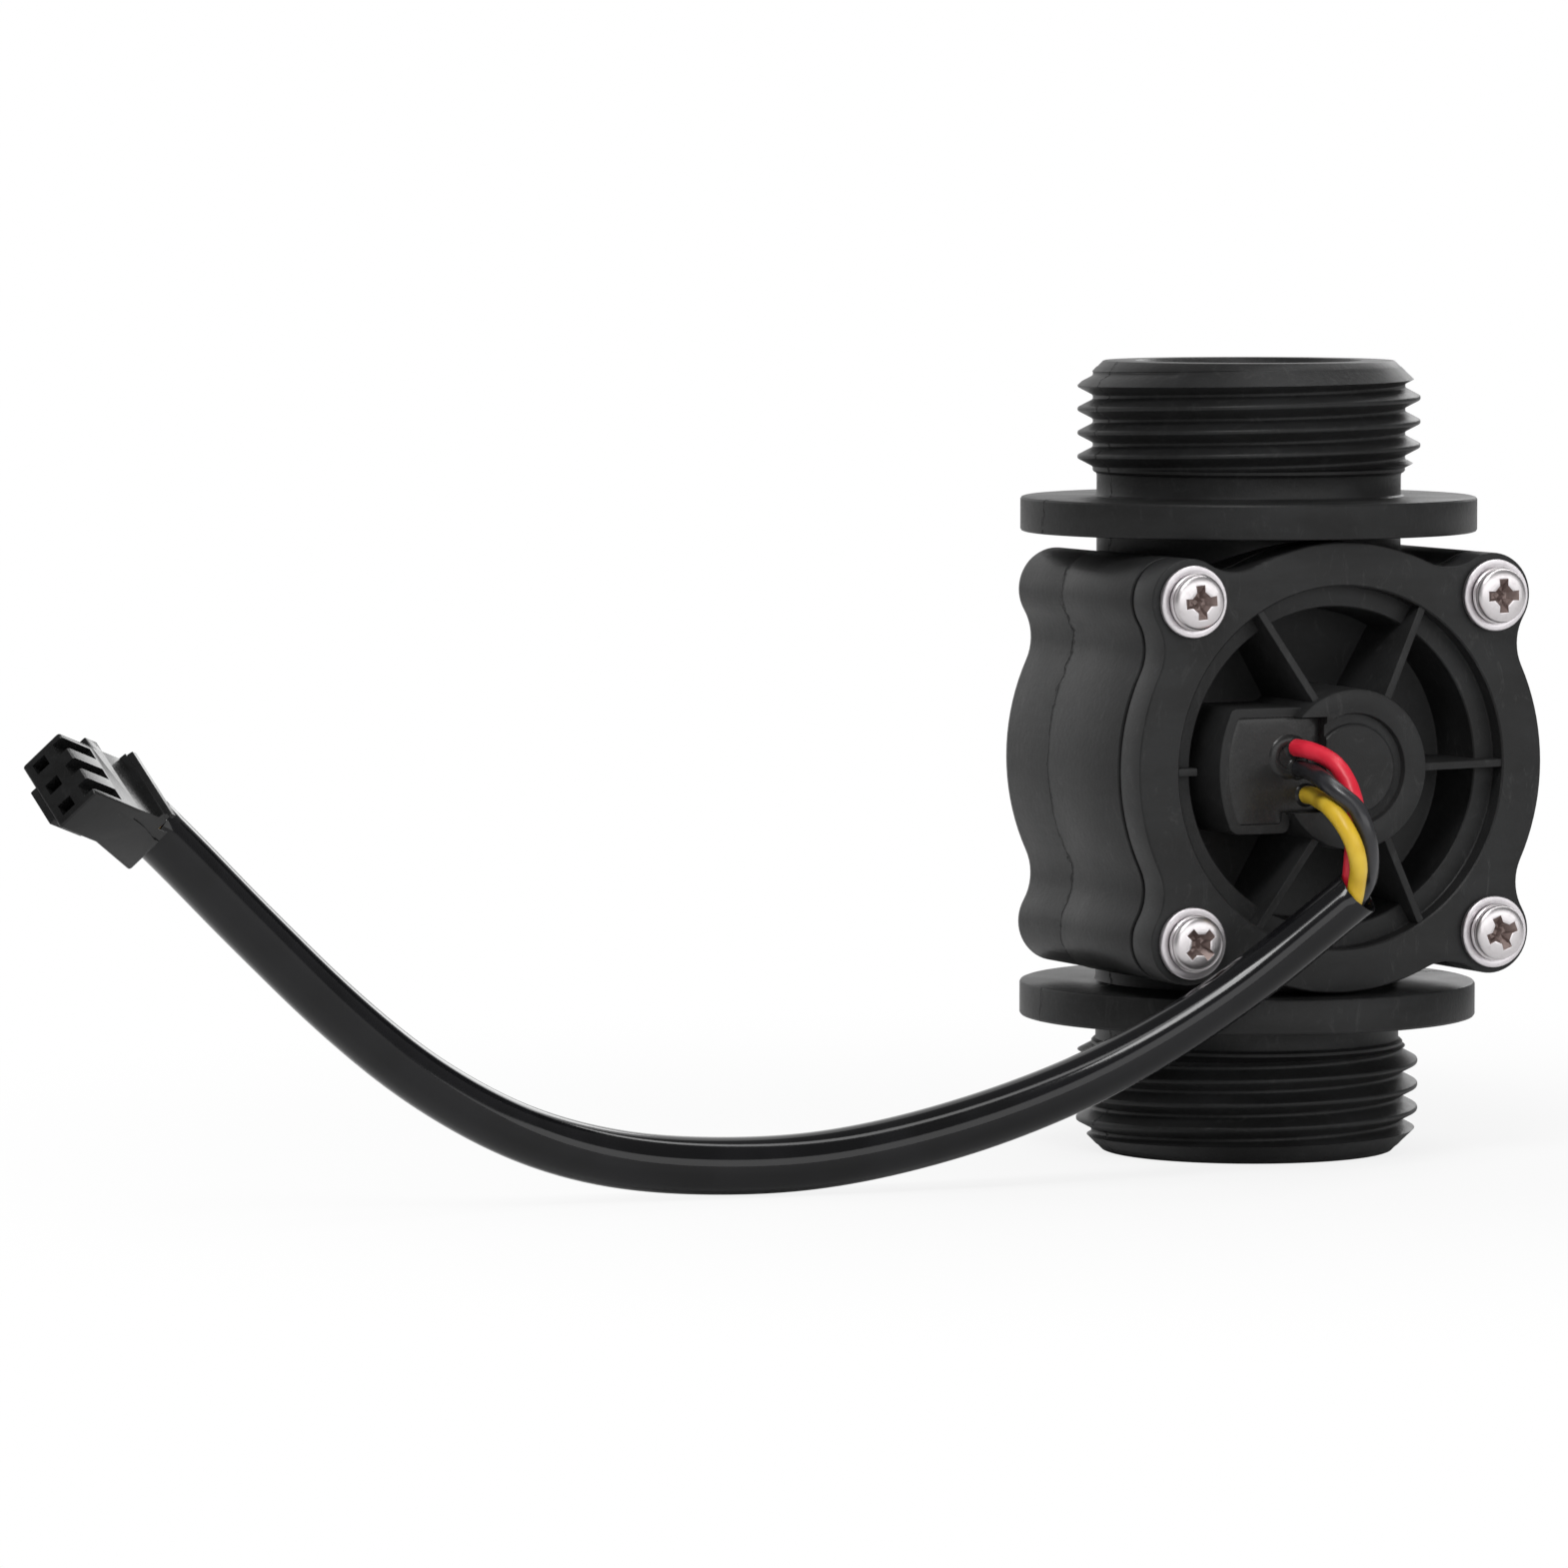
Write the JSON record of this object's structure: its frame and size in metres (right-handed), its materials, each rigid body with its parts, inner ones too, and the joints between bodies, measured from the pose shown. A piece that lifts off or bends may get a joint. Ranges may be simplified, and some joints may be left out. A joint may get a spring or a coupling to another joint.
{
  "type": "water flow sensor",
  "caption": "Inline turbine water flow sensor with threaded pipe ends, flanges, screwed pickup cover and a sleeved three-wire lead to a small connector.",
  "frame": {"origin": "centre of the inlet pipe end's flat face, on which the body stands", "axes": "+Z along the pipe in the direction of flow, -Y out of the screwed cover, +X to the right when the cover is seen from the front"},
  "size_m": [0.159, 0.06, 0.0768],
  "materials": {
    "housing_nylon": "satin moulded",
    "cover_nylon": "satin moulded",
    "seal_rubber": "matte",
    "screw_steel": "bright plated",
    "washer_steel": "bright plated",
    "impeller_plastic": "smooth moulded",
    "magnet_ferrite": "matte ferrite",
    "bearing_plastic": "smooth moulded",
    "pin_steel": "polished",
    "board_laminate": "lacquered",
    "chip_plastic": "matte",
    "capacitor_ceramic": "matte ceramic",
    "potting_resin": "cast gloss",
    "wire_red_pvc": "smooth",
    "wire_black_pvc": "smooth",
    "wire_yellow_pvc": "smooth",
    "sleeve_pvc": "glossy",
    "connector_nylon": "satin moulded",
    "terminal_metal": "tinned"
  },
  "bodies": {
    "body": {"housing": "housing_nylon", "front_cover": "cover_nylon", "o_ring": "seal_rubber", "screw_top_left": "screw_steel", "screw_top_right": "screw_steel", "screw_lower_left": "screw_steel", "screw_lower_right": "screw_steel", "washer_top_left": "washer_steel", "washer_top_right": "washer_steel", "washer_lower_left": "washer_steel", "washer_lower_right": "washer_steel", "axle_pin": "pin_steel", "thrust_washer_back": "bearing_plastic", "thrust_washer_front": "bearing_plastic", "sensor_board": "board_laminate", "hall_element": "chip_plastic", "chip_resistor": "chip_plastic", "chip_capacitor": "capacitor_ceramic", "potting": "potting_resin", "wire_red": "wire_red_pvc", "wire_black": "wire_black_pvc", "wire_yellow": "wire_yellow_pvc", "lead_sleeve": "sleeve_pvc", "connector_housing": "connector_nylon", "terminal_a": "terminal_metal", "terminal_b": "terminal_metal", "terminal_c": "terminal_metal"},
    "wheel": {"impeller": "impeller_plastic", "magnet_ring": "magnet_ferrite", "wheel_bush": "bearing_plastic"}
  },
  "joints": [
    {"name": "wheel_spin", "type": "hinge", "parent": "body", "child": "wheel", "pos_m": [0, 0, 0.0384], "axis": [0, -1, 0], "continuous": true}
  ]
}
